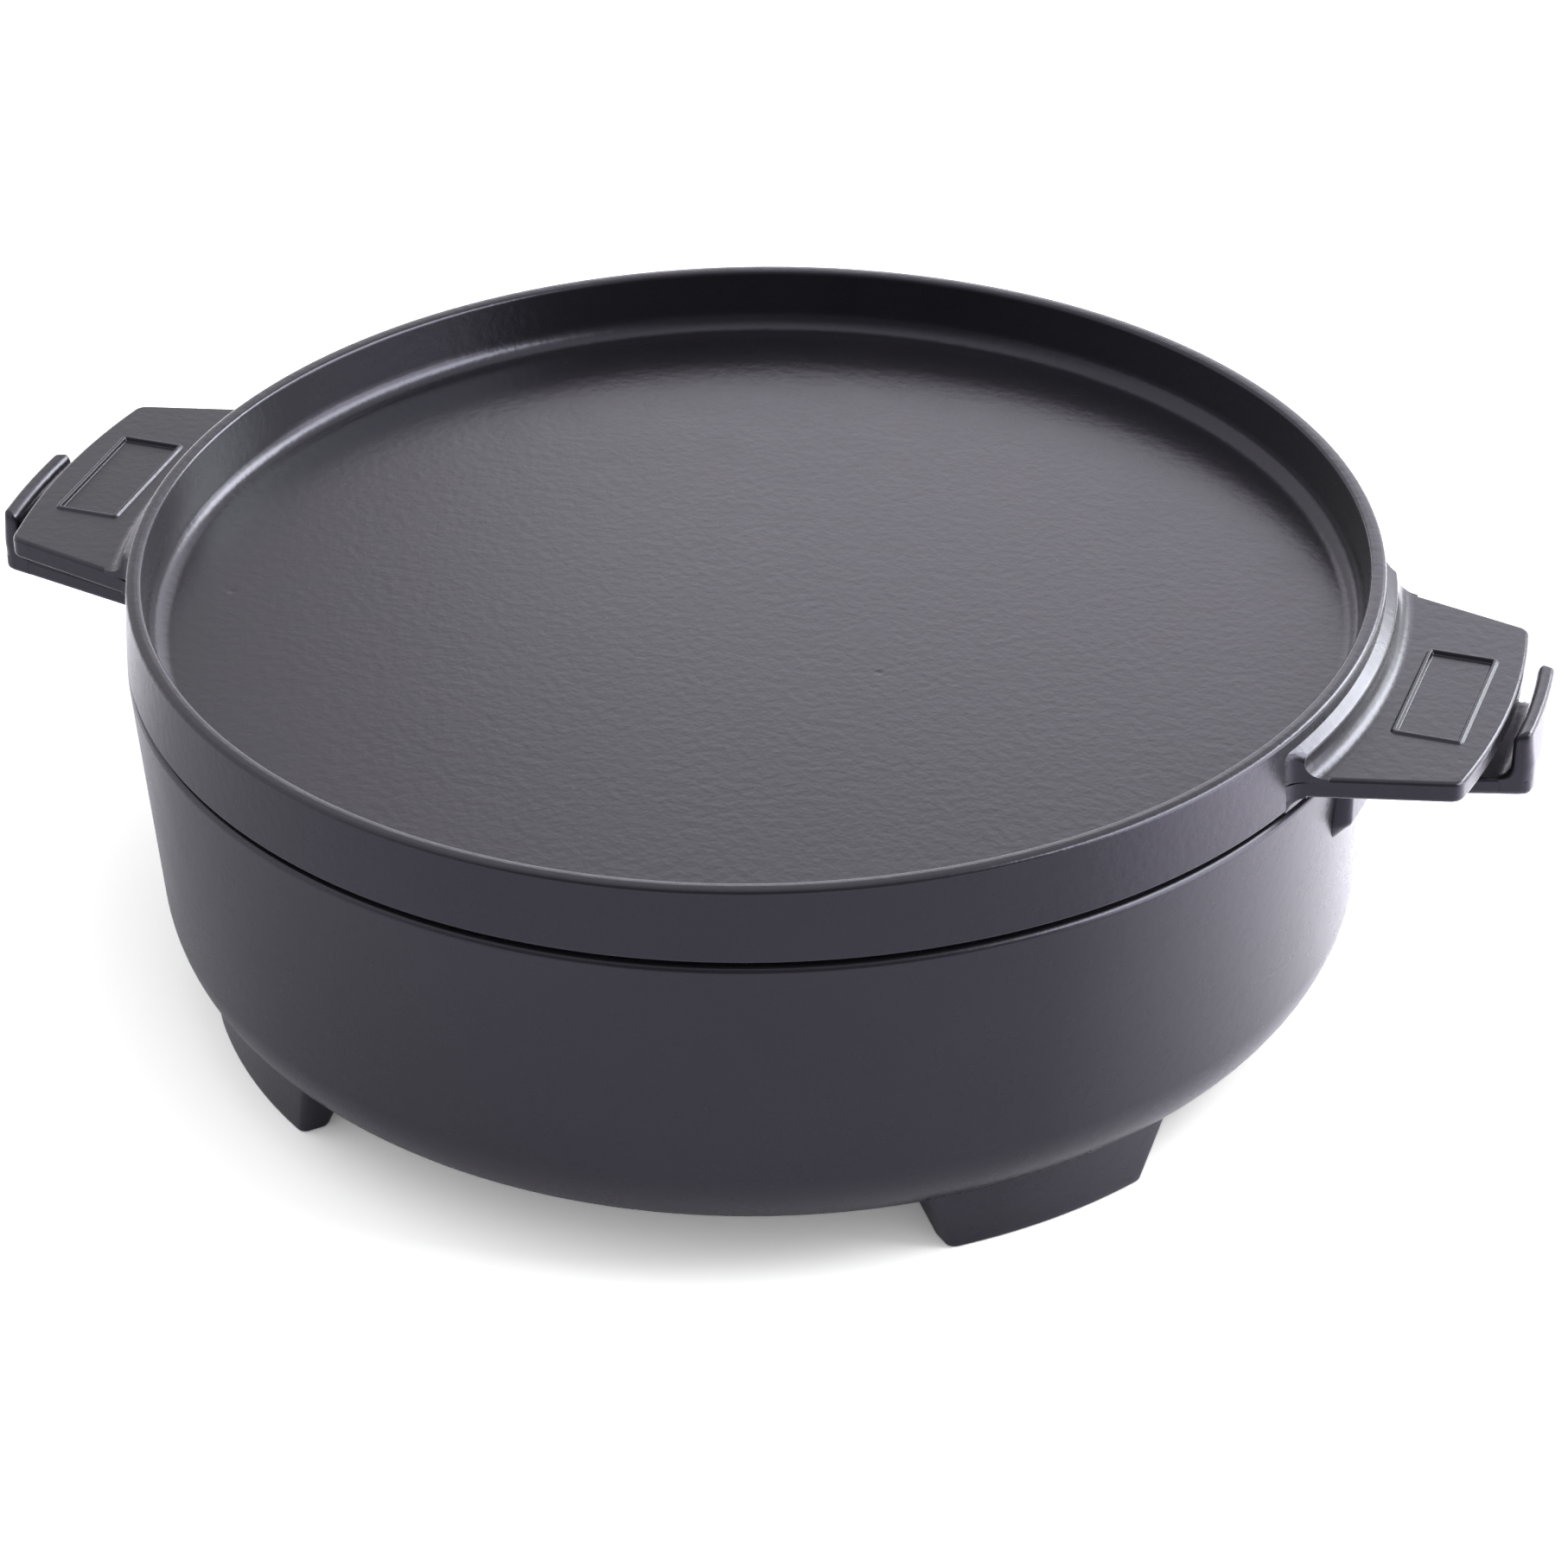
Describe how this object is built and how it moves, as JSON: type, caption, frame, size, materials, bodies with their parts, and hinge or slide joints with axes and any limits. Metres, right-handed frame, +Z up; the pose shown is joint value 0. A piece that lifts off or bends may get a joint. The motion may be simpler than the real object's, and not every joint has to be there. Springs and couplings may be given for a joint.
{
  "type": "camp dutch oven",
  "caption": "Round, shallow cast-iron camp oven with side handles and short feet, closed by a lift-off lid that is itself a shallow pan with matching side handles.",
  "frame": {"origin": "centre of the oven at ground level, under its feet", "axes": "+Z up, +X along the pot's two handles, -Y towards the front of the picture"},
  "size_m": [0.447, 0.3526, 0.1309],
  "materials": {
    "black_enamel": "satin black enamel"
  },
  "bodies": {
    "pot": {"pot_shell": "black_enamel", "pot_handle_left": "black_enamel", "pot_handle_right": "black_enamel", "foot_front_left": "black_enamel", "foot_front_right": "black_enamel", "foot_rear_left": "black_enamel", "foot_rear_right": "black_enamel"},
    "lid": {"lid_pan": "black_enamel", "lid_handle_left": "black_enamel", "lid_handle_right": "black_enamel"}
  },
  "joints": [
    {"name": "lid_lift", "type": "slide", "parent": "pot", "child": "lid", "axis": [0, 0, 1], "range_m": [0, 0.15]}
  ]
}
